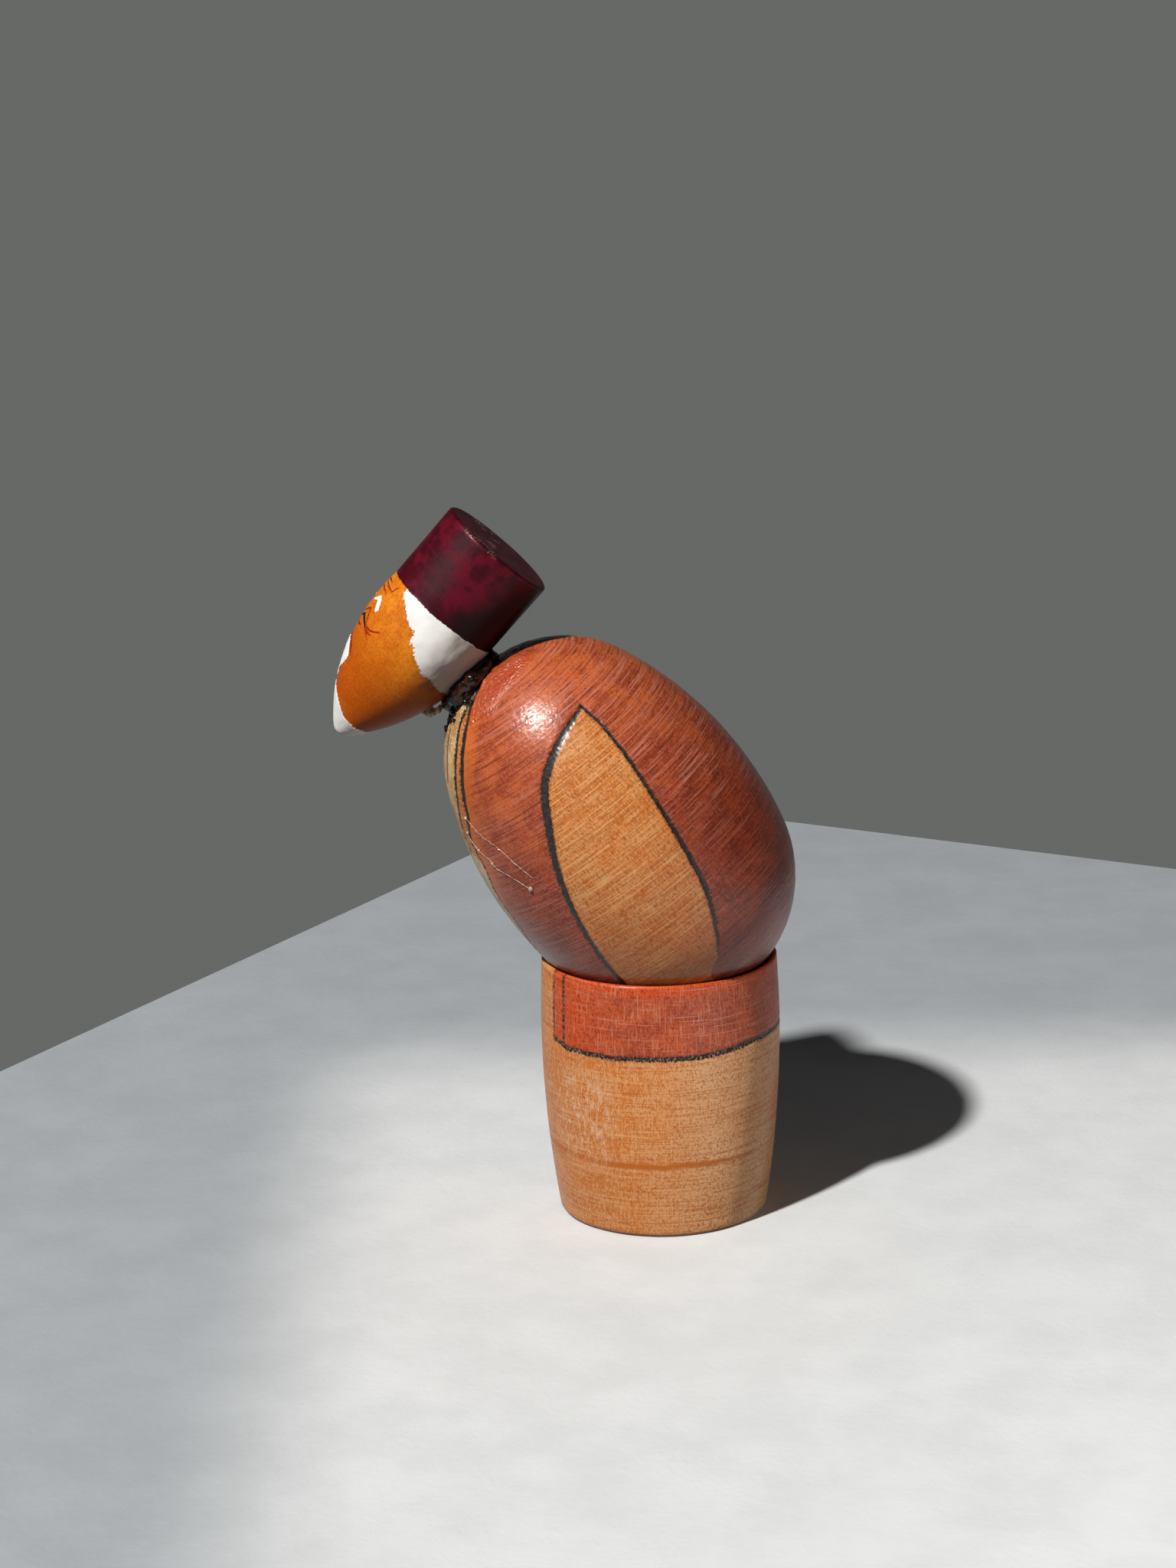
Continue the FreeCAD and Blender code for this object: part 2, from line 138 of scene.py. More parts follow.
class Turning:
    """A turned piece: its profile, and where the CAD node with that profile lies."""

    def __init__(self, node, profile, tilt):
        self.node = node
        self.profile = profile
        lean = math.radians(tilt)
        self.spin = np.array([
            [1, 0, 0],
            [0, math.cos(lean), -math.sin(lean)],
            [0, math.sin(lean), math.cos(lean)],
        ])
        sweep = np.radians(np.arange(0, 360, 2.0))
        height, radius = (column[:, None] for column in profile.T)
        swept = np.stack(np.broadcast_arrays(
            radius * np.sin(sweep), -radius * np.cos(sweep), height), axis=-1).reshape(-1, 3)
        swept = swept @ self.spin.T
        self.origin = middle_of(node) - (swept.min(0) + swept.max(0)) / 2
        self.origin[0] = 0.0

    def rows(self, count):
        """The profile again, as count points evenly spaced along it."""
        steps = np.hypot(*np.diff(self.profile, axis=0).T)
        along = np.concatenate([[0], np.cumsum(steps)])
        even = np.linspace(0, along[-1], count)
        return np.column_stack([np.interp(even, along, column) for column in self.profile.T])

    def on_side(self, height, degrees, lift=0.0):
        """Local points on the side, degrees round from the front towards +X."""
        height = np.asarray(height, float)
        rising = self.profile[: int(np.argmax(self.profile[:, 0])) + 1]
        radius = np.interp(height, rising[:, 0], rising[:, 1]) + lift
        turn = np.radians(degrees)
        return np.stack([radius * np.sin(turn), -radius * np.cos(turn), height], axis=-1)

    def to_world(self, local):
        return local @ self.spin.T + self.origin

    def to_local(self, world):
        return (world - self.origin) @ self.spin


def lattice(cell, seed):
    """A fixed random number between -1 and 1 for each whole-number cell."""
    mixed = cell[..., 0] * 73856093 ^ cell[..., 1] * 19349663 ^ cell[..., 2] * 83492791
    mixed = (mixed ^ (seed * 2654435761)) & 0xFFFFFFFF
    mixed = ((mixed ^ (mixed >> 15)) * 2246822519) & 0xFFFFFFFF
    mixed = ((mixed ^ (mixed >> 13)) * 3266489917) & 0xFFFFFFFF
    return (mixed ^ (mixed >> 16)) / 0x7FFFFFFF - 1


def wavy(points, size, seed=0, octaves=2):
    """Smooth noise between about -1 and 1, whose largest features are size across."""
    total = 0.0
    for octave in range(octaves):
        place = points / size * 2**octave
        cell = np.floor(place).astype(np.int64)
        part = place - cell
        part = part * part * (3 - 2 * part)
        value = 0.0
        for corner in np.ndindex(2, 2, 2):
            corner = np.array(corner)
            share = np.where(corner == 1, part, 1 - part).prod(axis=-1)
            value = value + share * lattice(cell + corner, seed + octave)
        total = total + value / 2**octave
    return total


def smooth_step(value, low, high):
    part = np.clip((value - low) / (high - low), 0, 1)
    return part * part * (3 - 2 * part)


def through(controls, count=24):
    """A smooth line of rows through the control rows (a Catmull-Rom spline)."""
    rows = np.array(controls, float)
    rows = np.vstack([2 * rows[0] - rows[1], rows, 2 * rows[-1] - rows[-2]])
    out = []
    for before, start, end, after in zip(rows, rows[1:], rows[2:], rows[3:]):
        t = np.linspace(0, 1, count, endpoint=False)[:, None]
        out.append(0.5 * (2 * start + (end - before) * t
                          + (2 * before - 5 * start + 4 * end - after) * t**2
                          + (3 * start - before - 3 * end + after) * t**3))
    return np.vstack(out + [rows[-2:-1]])


def fold(points):
    """The points, with those on the far side mirrored to +X."""
    folded = points.copy()
    folded[:, 0] = np.abs(folded[:, 0])
    return folded


def stroke(turning, points, controls):
    """How far each local point is outside a stroke: controls are (height, degrees, half width).

    Both sides carry the same strokes, so points are measured with X folded to +X.
    """
    line = through(controls, 8)
    path = turning.on_side(line[:, 0], line[:, 1])
    halves = line[:, 2]
    folded = fold(points)
    reach = 4.0
    near = np.all((folded > path.min(0) - reach) & (folded < path.max(0) + reach), axis=1)
    some = folded[near]
    best = np.full(len(some), reach)
    for start, end, wide, narrow in zip(path, path[1:], halves, halves[1:]):
        run = end - start
        part = np.clip((some - start) @ run / max(run @ run, 1e-9), 0, 1)
        away = np.linalg.norm(some - start - part[:, None] * run, axis=1)
        best = np.minimum(best, away - wide - (narrow - wide) * part)
    out = np.full(len(points), reach)
    out[near] = best
    return out


def strokes(turning, points, lines):
    return np.minimum.reduce([stroke(turning, points, line) for line in lines])


def thin(line):
    """The same stroke with no width."""
    return [(row[0], row[1], 0.0) for row in line]


def signed(distance, inside):
    """The distance to an outline, positive inside it and negative outside."""
    return np.where(inside, np.abs(distance), -np.abs(distance))


def turned_mesh(turning, name, rows, columns, dress):
    """A closed mesh on the turning's profile.

    dress(local, height, degrees) gives the lift off the profile, in mm, and a dict of values for
    the materials to read.
    """
    profile = turning.rows(rows)
    slope = np.gradient(profile, axis=0)
    slope /= np.linalg.norm(slope, axis=1)[:, None]
    height, radius = profile[1:-1].T
    normal = np.column_stack([-slope[:, 1], slope[:, 0]])[1:-1]
    turn = np.linspace(-math.pi, math.pi, columns, endpoint=False)
    ring = np.stack([np.sin(turn), -np.cos(turn)], axis=-1)
    side = np.concatenate([
        radius[:, None, None] * ring,
        np.broadcast_to(height[:, None, None], (len(height), columns, 1)),
    ], axis=-1).reshape(-1, 3)
    poles = np.array([[0, 0, profile[0, 0]], [0, 0, profile[-1, 0]]])
    local = np.vstack([side, poles])
    degrees = np.append(np.tile(np.degrees(turn), len(height)), [0, 0])
    lift, values = dress(local, local[:, 2], degrees)
    lift[-2:] = 0
    outward = np.concatenate([
        normal[:, 1, None, None] * ring,
        np.broadcast_to(normal[:, 0, None, None], (len(height), columns, 1)),
    ], axis=-1).reshape(-1, 3)
    shaped = local.copy()
    shaped[:-2] += lift[:-2, None] * outward
    world = turning.to_world(shaped) * MM

    index = np.arange(len(side)).reshape(len(height), columns)
    after = np.roll(index, -1, axis=1)
    quads = np.stack([index[:-1], after[:-1], after[1:], index[1:]], axis=-1).reshape(-1, 4)
    faces = quads.tolist()
    low, high = len(side), len(side) + 1
    faces += [[low, b, a] for a, b in zip(index[0], after[0])]
    faces += [[high, a, b] for a, b in zip(index[-1], after[-1])]
    mesh = bpy.data.meshes.new(name)
    mesh.from_pydata(world.tolist(), [], faces)
    mesh.shade_smooth()
    values = dict(values, turning=local)
    for key, value in values.items():
        kind, field = ("FLOAT_VECTOR", "vector") if value.ndim == 2 else ("FLOAT", "value")
        store = mesh.attributes.new(key, kind, "POINT")
        store.data.foreach_set(field, np.ascontiguousarray(value, np.float32).ravel())
    mesh.validate()
    piece = bpy.data.objects.new(name, mesh)
    bpy.context.scene.collection.objects.link(piece)
    return piece


def stands_for(piece, node, material):
    piece.data.materials.append(material)
    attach(piece, "root")
    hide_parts(node)


# Materials.

# A colour Mix node's sockets, which are reached by place because their names repeat.
MIX_FACTOR, MIX_FIRST, MIX_SECOND, MIX_RESULT = 0, 6, 7, 2


class Graph:
    """A material's nodes, with one short method for each kind that is used."""

    def __init__(self, name):
        self.material = bpy.data.materials.new(name)
        self.material.use_nodes = True
        self.tree = self.material.node_tree
        self.shader = self.tree.nodes["Principled BSDF"]

    def put(self, socket, value):
        if isinstance(value, bpy.types.NodeSocket):
            self.tree.links.new(value, socket)
        else:
            socket.default_value = value

    def node(self, kind, **settings):
        made = self.tree.nodes.new(kind)
        for key, value in settings.items():
            setattr(made, key, value)
        return made

    def read(self, name, output="Fac"):
        return self.node("ShaderNodeAttribute", attribute_name=name).outputs[output]

    def stretch(self, vector, factors):
        made = self.node("ShaderNodeVectorMath", operation="MULTIPLY")
        self.put(made.inputs[0], vector)
        self.put(made.inputs[1], factors)
        return made.outputs[0]

    def noise(self, vector, scale, detail=3.0, roughness=0.55, distortion=0.0):
        made = self.node("ShaderNodeTexNoise")
        self.put(made.inputs["Vector"], vector)
        for key, value in (("Scale", scale), ("Detail", detail), ("Roughness", roughness),
                           ("Distortion", distortion)):
            self.put(made.inputs[key], value)
        return made.outputs["Fac"]

    def math(self, operation, first, second=0.0, clamp=False):
        made = self.node("ShaderNodeMath", operation=operation, use_clamp=clamp)
        self.put(made.inputs[0], first)
        self.put(made.inputs[1], second)
        return made.outputs[0]

    def add(self, first, second):
        return self.math("ADD", first, second)

    def times(self, first, second):
        return self.math("MULTIPLY", first, second)

    def ramp(self, value, low, high, start, end, kind):
        made = self.node("ShaderNodeMapRange", interpolation_type=kind)
        for key, number in (("Value", value), ("From Min", low), ("From Max", high),
                            ("To Min", start), ("To Max", end)):
            self.put(made.inputs[key], number)
        return made.outputs[0]

    def smooth(self, value, low, high, top=1.0):
        """0 below low and top above high, with a soft step between; high may be the lower."""
        if low > high:
            return self.ramp(value, high, low, top, 0.0, "SMOOTHSTEP")
        return self.ramp(value, low, high, 0.0, top, "SMOOTHSTEP")

    def between(self, factor, start, end):
        return self.ramp(factor, 0.0, 1.0, start, end, "LINEAR")

    def mix(self, factor, first, second, blend="MIX"):
        made = self.node("ShaderNodeMix", data_type="RGBA", blend_type=blend)
        self.put(made.inputs[MIX_FACTOR], factor)
        self.put(made.inputs[MIX_FIRST], rgba(first))
        self.put(made.inputs[MIX_SECOND], rgba(second))
        return made.outputs[MIX_RESULT]

    def bump(self, height, strength, depth):
        """Bumps the shader by a height; the depth is in metres."""
        made = self.node("ShaderNodeBump")
        made.inputs["Strength"].default_value = strength
        made.inputs["Distance"].default_value = depth
        self.put(made.inputs["Height"], height)
        self.put(self.shader.inputs["Normal"], made.outputs[0])
        return made.outputs[0]

    def finish(self, colour, roughness, **settings):
        self.put(self.shader.inputs["Base Color"], rgba(colour))
        self.put(self.shader.inputs["Roughness"], roughness)
        for key, value in settings.items():
            self.put(self.shader.inputs[key.replace("_", " ")], value)
        return self.material


def rgba(colour):
    """A colour of three numbers with an alpha of 1 added; anything else as it is."""
    return (*colour, 1.0) if isinstance(colour, tuple) and len(colour) == 3 else colour


def lathe_grain(graph):
    """Noises laid out on the turning: rings round it, fibres and weave along it, and patches."""
    place = graph.read("turning", "Vector")
    return {
        "place": place,
        "rings": graph.noise(graph.stretch(place, (0.1, 0.1, 3.6)), 1.0, 3.0, 0.7),
        "fibres": graph.noise(graph.stretch(place, (3.4, 3.4, 0.3)), 1.0, 3.0, 0.6),
        "flecks": graph.noise(graph.stretch(place, (2.8, 2.8, 2.3)), 1.0, 3.0, 0.75),
        "weave": graph.noise(graph.stretch(place, (4.5, 4.5, 1.6)), 1.0, 2.0, 0.6),
        "mottle": graph.noise(place, 0.28, 4.0, 0.65),
        "blotch": graph.noise(place, 0.09, 3.0, 0.55),
    }


def tinted(graph, grain, colour, tints):
    """Each tint in turn mixed over the colour where its noise passes from low towards high."""
    for noise, low, high, share, tint in tints:
        colour = graph.mix(graph.smooth(grain[noise], low, high, share), colour, tint)
    return colour


def burned(graph, grain, colour, fleck, bare):
    """Adds the burned lines: near black, ragged at the edge, with flecks of bare ridge."""
    edge = 0.07
    ragged = graph.times(graph.add(grain["flecks"], -0.5), 0.9)
    distance = graph.add(graph.add(graph.read("burn"), 0.05), ragged)
    line = graph.math("SUBTRACT", 1.0, graph.smooth(distance, -edge, edge))
    scorch = graph.math("SUBTRACT", 1.0, graph.smooth(distance, -0.05, 0.45))
    colour = graph.mix(graph.times(scorch, 0.4), colour, (0.06, 0.018, 0.008))
    char = graph.mix(graph.smooth(grain["flecks"], 0.5, 0.62, bare), (0.012, 0.008, 0.006), fleck)
    return graph.mix(line, colour, char), line


def body_material():
    graph = Graph("body_stained_lacquered_wood")
    grain = lathe_grain(graph)
    # Lighter, more orange stain towards the top and the front: partly the stain's own tone, partly
    # painted light where these face the lamp.
    high = graph.read("high")
    dark = graph.mix(high, (0.17, 0.02, 0.007), (0.31, 0.042, 0.012))
    light = graph.mix(high, (0.3, 0.043, 0.01), (0.5, 0.1, 0.025))
    stain = graph.mix(graph.smooth(grain["mottle"], 0.34, 0.66), light, dark)
    stain = tinted(graph, grain, stain, [
        ("blotch", 0.56, 0.7, 0.3, (0.5, 0.075, 0.009)),
        ("flecks", 0.52, 0.34, 0.5, (0.09, 0.012, 0.005)),
    ])
    scratched = graph.times(graph.smooth(grain["rings"], 0.53, 0.64), graph.read("scratched"))
    scratched = graph.times(scratched, graph.smooth(grain["mottle"], 0.38, 0.58, 0.6))
    stain = graph.mix(scratched, stain, (0.52, 0.2, 0.14))
    stain = tinted(graph, grain, stain, [
        ("weave", 0.5, 0.64, 0.3, (0.46, 0.16, 0.09)),
        ("rings", 0.52, 0.6, 0.26, (0.48, 0.19, 0.13)),
        ("rings", 0.47, 0.37, 0.65, (0.1, 0.014, 0.007)),
        ("flecks", 0.55, 0.72, 0.6, (0.45, 0.17, 0.1)),
    ])
    beside_robe = graph.times(graph.smooth(graph.read("robe"), -4.5, -0.6, 0.6), high)
    stain = graph.mix(beside_robe, stain, (0.62, 0.15, 0.016))
    wet = graph.read("wet")
    stain = graph.mix(graph.times(wet, 0.6), stain, (0.42, 0.045, 0.006))

    wood = graph.mix(graph.smooth(grain["mottle"], 0.38, 0.6), (0.54, 0.21, 0.058),
                     (0.52, 0.14, 0.012))
    wood = tinted(graph, grain, wood, [
        ("flecks", 0.56, 0.38, 0.9, (0.27, 0.06, 0.009)),
        ("fibres", 0.53, 0.63, 0.5, (0.6, 0.3, 0.11)),
        ("weave", 0.5, 0.62, 0.5, (0.62, 0.32, 0.13)),
        ("rings", 0.53, 0.62, 0.7, (0.64, 0.33, 0.12)),
        ("rings", 0.47, 0.37, 0.7, (0.34, 0.09, 0.013)),
    ])

    cream = graph.mix(graph.smooth(grain["mottle"], 0.4, 0.65), (0.68, 0.47, 0.25),
                      (0.5, 0.26, 0.09))
    cream = tinted(graph, grain, cream, [("fibres", 0.5, 0.36, 0.5, (0.3, 0.14, 0.05))])
    wavering = graph.times(graph.add(grain["flecks"], -0.5), 0.25)
    leaf = graph.smooth(graph.add(graph.read("leaf"), wavering), -0.06, 0.06)
    panel = graph.smooth(graph.add(graph.read("panel"), wavering), -0.06, 0.06)
    robe = graph.smooth(graph.add(graph.read("robe"), wavering), -0.06, 0.06)
    colour = graph.mix(graph.math("MAXIMUM", leaf, robe), stain, wood)
    colour = graph.mix(panel, colour, cream)
    brown = graph.smooth(graph.add(graph.read("brown"), wavering), 0.08, -0.08, 0.8)
    colour = graph.mix(brown, colour, (0.1, 0.035, 0.012))
    # Painted shade: darker towards the bottom and on the side towards the back.
    colour = graph.mix(graph.read("low_and_back_painted_shade"), colour, (0.66, 0.52, 0.44), "MULTIPLY")
    colour, line = burned(graph, grain, colour, (0.09, 0.055, 0.045), 0.5)

    fine = graph.add(graph.times(grain["flecks"], 0.7), graph.times(grain["rings"], 0.6))
    lumps = graph.times(graph.noise(grain["place"], 2.2, 2.0, 0.5), graph.times(wet, 14.0))
    waves = graph.times(graph.noise(grain["place"], 1.1, 2.0, 0.5), 1.6)
    uneven = graph.add(graph.add(fine, lumps), waves)
    graph.put(graph.shader.inputs["Coat Normal"], graph.bump(uneven, 0.55, 0.0001))
    rough = graph.between(line, graph.between(wet, 0.42, 0.14), 0.5)
    return graph.finish(colour, rough, Specular_IOR_Level=0.3, Coat_Weight=0.42,
                        Coat_Roughness=0.12, Coat_IOR=1.5)


def base_material():
    graph = Graph("base_stained_lacquered_wood")
    grain = lathe_grain(graph)
    orange = graph.mix(graph.smooth(grain["mottle"], 0.38, 0.6), (0.57, 0.22, 0.07),
                       (0.55, 0.155, 0.018))
    # Painted light: lighter, tan wood on the side towards the back, standing in for light thrown up
    # from the floor.
    orange = graph.mix(graph.read("back_painted_bounce_light"), orange, (0.73, 0.46, 0.25))
    orange = tinted(graph, grain, orange, [
        ("flecks", 0.54, 0.4, 0.9, (0.38, 0.1, 0.012)),
        ("fibres", 0.52, 0.62, 0.6, (0.65, 0.31, 0.12)),
        ("rings", 0.54, 0.62, 0.5, (0.66, 0.33, 0.13)),
        ("rings", 0.48, 0.38, 0.75, (0.42, 0.1, 0.012)),
        ("weave", 0.5, 0.62, 0.55, (0.67, 0.36, 0.17)),
    ])
    ring = graph.add(graph.read("ring"), graph.times(graph.add(grain["flecks"], -0.5), 0.6))
    orange = graph.mix(graph.smooth(ring, 0.3, -0.3, 0.9), orange, (0.42, 0.105, 0.006))

    red = graph.mix(graph.smooth(grain["mottle"], 0.42, 0.6), (0.44, 0.075, 0.02),
                    (0.32, 0.045, 0.014))
    red = tinted(graph, grain, red, [("blotch", 0.56, 0.66, 0.8, (0.5, 0.06, 0.004))])
    # The band just under the rim is painted shade, saturated red where the body's shadow falls; the
    # brighter red on the front is the stain's own.
    red = graph.mix(graph.read("front_red_and_rim_painted_shade"), red, (0.54, 0.06, 0.003))
    red = tinted(graph, grain, red, [
        ("flecks", 0.54, 0.38, 0.75, (0.18, 0.02, 0.006)),
        ("fibres", 0.55, 0.66, 0.5, (0.6, 0.23, 0.13)),
        ("rings", 0.55, 0.65, 0.45, (0.6, 0.24, 0.15)),
        ("weave", 0.52, 0.64, 0.45, (0.48, 0.16, 0.1)),
    ])

    cloth = graph.smooth(graph.read("band"), -0.06, 0.06)
    colour = graph.mix(cloth, orange, red)
    scuffs = graph.noise(graph.stretch(grain["place"], (0.7, 1.6, 0.5)), 1.0, 4.0, 0.7, 0.8)
    scuffed = graph.times(graph.read("scuffed"), graph.smooth(scuffs, 0.48, 0.62))
    colour = graph.mix(graph.times(scuffed, 0.5), colour, (0.74, 0.5, 0.37))
    colour, line = burned(graph, grain, colour, (0.33, 0.22, 0.16), 0.8)
    fine = graph.add(graph.times(grain["fibres"], 0.6), graph.times(grain["rings"], 0.7))
    graph.put(graph.shader.inputs["Coat Normal"], graph.bump(fine, 0.5, 0.0001))
    rough = graph.between(line, 0.5, 0.6)
    return graph.finish(colour, rough, Specular_IOR_Level=0.2, Coat_Weight=0.22,
                        Coat_Roughness=0.2, Coat_IOR=1.5)


def head_material():
    graph = Graph("head_painted_lacquered_wood")
    grain = lathe_grain(graph)
    skin = graph.mix(graph.read("deep"), (0.66, 0.21, 0.012), (0.42, 0.075, 0.002))
    skin = tinted(graph, grain, skin, [
        ("mottle", 0.4, 0.62, 0.6, (0.46, 0.09, 0.002)),
        ("flecks", 0.54, 0.38, 0.45, (0.28, 0.045, 0.001)),
        ("flecks", 0.56, 0.72, 0.3, (0.6, 0.22, 0.025)),
        ("rings", 0.56, 0.68, 0.3, (0.56, 0.2, 0.03)),
    ])
    # Painted shade: the skin darker towards the back, below the brim.
    skin = graph.mix(graph.read("hat_and_face_painted_shade"), skin, (0.13, 0.02, 0.001))

    felt = graph.mix(graph.smooth(grain["mottle"], 0.4, 0.6), (0.1, 0.003, 0.012),
                     (0.04, 0.002, 0.006))
    felt = graph.mix(graph.times(graph.read("blotch"), graph.smooth(grain["flecks"], 0.3, 0.6)),
                     felt, (0.03, 0.012, 0.014))
    felt = tinted(graph, grain, felt, [
        ("flecks", 0.56, 0.72, 0.3, (0.14, 0.008, 0.02)),
        ("rings", 0.56, 0.68, 0.3, (0.1, 0.008, 0.018)),
    ])
    # Painted shade: the hat darker towards the back and over its top.
    felt = graph.mix(graph.read("hat_and_face_painted_shade"), felt, (0.006, 0.0005, 0.001))
    # A rubbed rim: partly wear, partly a painted highlight on the side that faces the lamp.
    rim_wear_and_painted_highlight = graph.times(graph.read("rim_wear_and_painted_highlight"), graph.smooth(grain["flecks"], 0.48, 0.62))
    felt = graph.mix(graph.times(rim_wear_and_painted_highlight, 0.6), felt, (0.4, 0.27, 0.25))

    ragged = graph.times(graph.add(grain["flecks"], -0.5), 0.5)
    paint = graph.mix(graph.smooth(grain["mottle"], 0.4, 0.7), (0.8, 0.79, 0.76),
                      (0.72, 0.7, 0.66))
    smear = graph.read("smear")
    paint = graph.mix(graph.times(smear, 0.85), paint, (0.27, 0.23, 0.2))
    white = graph.smooth(graph.add(graph.read("white"), graph.times(ragged, 3.6)), -0.04, 0.04)
    red = graph.smooth(graph.add(graph.read("red"), graph.times(ragged, 0.3)), 0.12, -0.04, 0.95)
    black = graph.smooth(graph.add(graph.read("black"), graph.times(ragged, 0.3)), 0.08, -0.03)
    hat = graph.smooth(graph.add(graph.read("hat"), graph.times(ragged, 0.9)), -0.05, 0.05)
    colour = graph.mix(graph.times(smear, 0.5), skin, (0.14, 0.035, 0.008))
    colour = graph.mix(red, colour, (0.22, 0.012, 0.004))
    colour = graph.mix(white, colour, paint)
    colour = graph.mix(black, colour, (0.01, 0.006, 0.005))
    colour = graph.mix(hat, colour, felt)

    fine = graph.add(graph.times(grain["flecks"], 0.5), graph.times(grain["rings"], 0.4))
    brushed = graph.times(graph.noise(grain["place"], 2.6, 3.0, 0.6), graph.times(white, 1.2))
    graph.put(graph.shader.inputs["Coat Normal"],
              graph.bump(graph.add(fine, brushed), 0.3, 0.0001))
    rough = graph.between(smear, graph.between(white, 0.45, 0.5), 0.15)
    return graph.finish(colour, rough, Specular_IOR_Level=0.1, Coat_Weight=0.05,
                        Coat_Roughness=0.14, Coat_IOR=1.5)


def dowel_material():
    graph = Graph("bare_dowel_wood")
    place = graph.node("ShaderNodeTexCoord").outputs["Object"]
    fibres = graph.noise(graph.stretch(place, (3000.0, 3000.0, 300.0)), 1.0, 3.0, 0.6)
    colour = graph.mix(graph.smooth(fibres, 0.35, 0.7), (0.66, 0.48, 0.3), (0.5, 0.32, 0.17))
    graph.bump(fibres, 0.4, 0.0001)
    return graph.finish(colour, 0.6)


def dark_glue_material():
    graph = Graph("dark_set_glue")
    place = graph.node("ShaderNodeTexCoord").outputs["Object"]
    cloud = graph.noise(place, 700.0, 4.0, 0.6)
    fine = graph.noise(place, 2600.0, 2.0, 0.5)
    colour = graph.mix(graph.smooth(cloud, 0.48, 0.72), (0.006, 0.003, 0.003), (0.05, 0.014, 0.005))
    colour = graph.mix(graph.smooth(fine, 0.66, 0.78, 0.3), colour, (0.22, 0.12, 0.07))
    graph.bump(graph.add(graph.times(cloud, 0.7), graph.times(fine, 0.5)), 0.6, 0.0002)
    return graph.finish(colour, 0.07, IOR=1.5, Specular_IOR_Level=0.45)


def clear_glue_material():
    graph = Graph("clear_set_glue")
    place = graph.node("ShaderNodeTexCoord").outputs["Object"]
    cloud = graph.noise(place, 1300.0, 2.0, 0.5)
    colour = graph.mix(graph.smooth(cloud, 0.4, 0.65), (0.55, 0.36, 0.25), (0.78, 0.66, 0.56))
    graph.bump(cloud, 0.4, 0.0002)
    return graph.finish(colour, 0.1, IOR=1.5, Transmission_Weight=0.35)


def floor_material():
    """Pale on the side towards the camera, with painted shade beyond the figure and before its
    face.
    """
    graph = Graph("painted_plaster")
    place = graph.node("ShaderNodeTexCoord").outputs["Object"]
    coarse = graph.noise(place, 60.0, 4.0, 0.6)
    fine = graph.noise(place, 700.0, 3.0, 0.6)
    pale = graph.mix(graph.smooth(coarse, 0.3, 0.7), (0.645, 0.66, 0.665), (0.59, 0.605, 0.61))
    split = graph.node("ShaderNodeSeparateXYZ")
    graph.put(split.inputs[0], place)
    # Painted shade on the floor beyond the figure and before its face.
    near = graph.smooth(split.outputs["X"], -0.105, -0.05)
    beside = graph.smooth(split.outputs["Y"], -0.076, -0.04)
    shade = graph.math("SUBTRACT", 1.0, graph.times(near, beside))
    colour = graph.mix(shade, pale, (0.52, 0.55, 0.58), "MULTIPLY")
    graph.bump(graph.add(graph.times(coarse, 0.6), graph.times(fine, 0.3)), 0.4, 0.0006)
    return graph.finish(colour, 0.85)


# Where the burned lines and the paint are: (height, degrees, half width) along each stroke, in
# each turned piece's own lathe frame. Both sides carry the same strokes. The robe's inner line
# ends where the outer one has its point number ROBE_LINES_MEET. The leaf's outline runs on from
# its back line to LEAF_FOOT, and the body's outlines close near its ends, at BODY_FOOT and
# BODY_TOP.
LEAF_FRONT = [(32.2, 121, 0.3), (30.3, 101.2, 0.6), (27, 85, 0.7), (22, 76, 0.72),
              (15, 67.2, 0.6), (7, 60.7, 0.52), (-3.9, 54.8, 0.44), (-12, 51.4, 0.4),
              (-19, 49, 0.36)]
LEAF_BACK = [(32.2, 121, 0.3), (28, 121, 0.32), (23, 119.3, 0.34), (13, 115.3, 0.38),
             (2.8, 112, 0.48), (-2.5, 109.3, 0.5), (-8.9, 102.3, 0.3), (-11.6, 97.5, 0.1)]
ROBE_OUTER = [(42.6, 62, 0.5), (41.9, 57.3, 0.5), (40, 51.3, 0.54), (37.6, 46.3, 0.56),
              (34.3, 40.5, 0.56), (30, 34.2, 0.52), (27.8, 32.4, 0.48), (25.3, 26.8, 0.4),
              (22.2, 25.5, 0.3), (19.9, 26.6, 0.3), (16.5, 23.5, 0.3), (14.5, 22, 0.35),
              (8, 21.5, 0.35), (2.4, 16, 0.35), (-8, 14, 0.35), (-16, 13, 0.3)]
ROBE_INNER = [(42.3, 52, 0.4), (41.4, 47.6, 0.42), (40.2, 41, 0.46), (38, 38.4, 0.46),
              (34.7, 33.3, 0.46), (30.8, 26.7, 0.42), (26.8, 19.9, 0.36), (24, 17.5, 0.28),
              (22.5, 18.5, 0.2)]
ROBE_LINES_MEET = 9
LEAF_FOOT = (-14.8, 86.3, 0)
BODY_FOOT, BODY_TOP = -22, 43.8
SASH = [(25.6, 12, 0.18), (25, 15.5, 0.2), (23.5, 17.8, 0.22), (22, 15, 0.2), (22.4, 10, 0.15)]
FRONT_STROKES = [
    [(39.8, 22, 0.2), (36, 22, 0.42), (33, 17, 0.2)],
    [(38.6, 10, 0.2), (34.8, 10, 0.5), (30.5, 8, 0.2)],
    [(29.8, 13, 0.2), (27.5, 11, 0.4), (25.8, 5, 0.2)],
]

